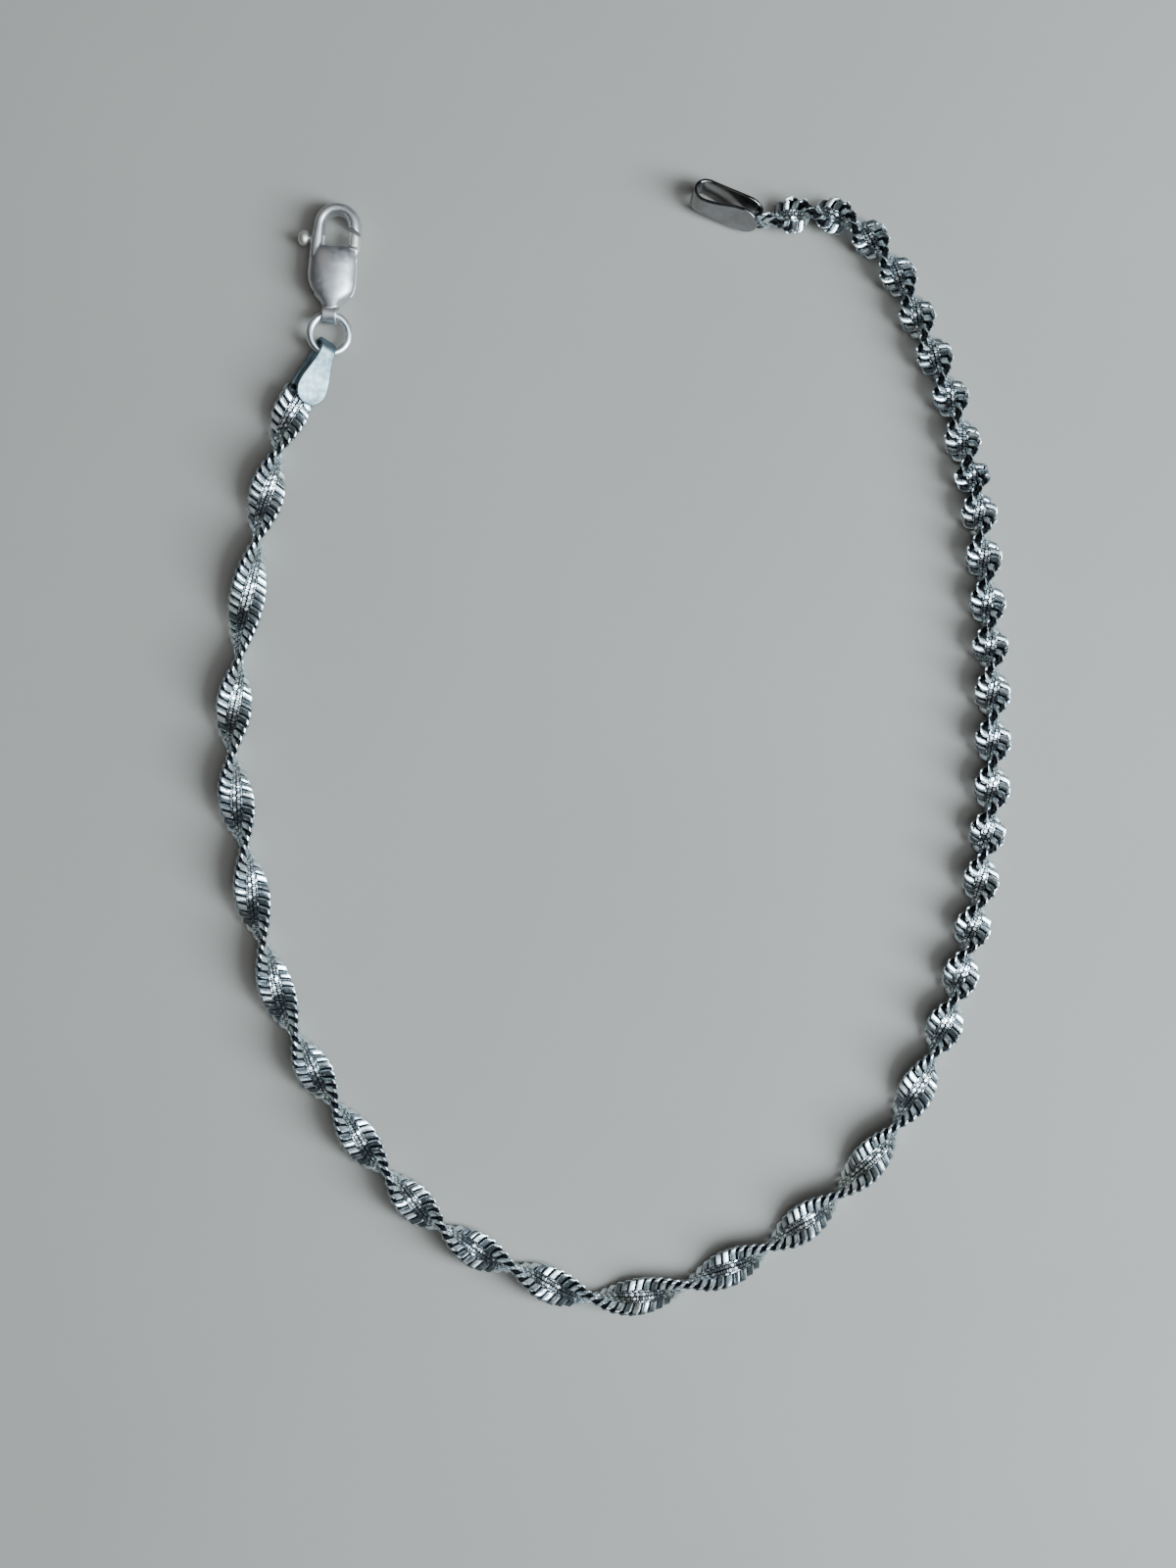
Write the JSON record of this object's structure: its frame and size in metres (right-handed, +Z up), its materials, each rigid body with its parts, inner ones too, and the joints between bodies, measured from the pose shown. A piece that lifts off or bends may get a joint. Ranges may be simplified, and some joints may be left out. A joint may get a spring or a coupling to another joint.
{
  "type": "herringbone chain bracelet",
  "caption": "Flat herringbone chain bracelet, twisted like a ribbon and lying in an open loop, with a lobster clasp on a jump ring and a folded end loop.",
  "frame": {"origin": "on the table below the middle of the whole bracelet's box", "axes": "+Z up from the table, +Y towards the open end with the clasp and the end loop, +X to the right as in the picture seen from above"},
  "size_m": [0.0542, 0.0772, 0.0026],
  "materials": {
    "aged_silver": "aged sterling silver, worn bright on the edges and dark in the gaps",
    "clasp_silver": "satin silver",
    "lever_silver": "satin silver, slightly warmer",
    "pin_silver": "dull silver pin, hidden",
    "ring_silver": "smooth silver wire",
    "tag_silver": "pale silver strip, bare where the stamp is",
    "loop_silver": "polished silver"
  },
  "bodies": {
    "bracelet": {"chain": "aged_silver", "clasp_body": "clasp_silver", "clasp_tag": "tag_silver", "end_loop": "loop_silver", "jump_ring": "ring_silver", "lever_pin": "pin_silver"},
    "lever": {"clasp_lever": "lever_silver"}
  },
  "joints": [
    {"name": "lever_hinge", "type": "hinge", "parent": "bracelet", "child": "lever", "pos_m": [-0.01903, 0.03289, 0.0011], "axis": [0, 0, 1], "range_deg": [0, 22], "stiffness_Nm_per_rad": 0.008}
  ]
}
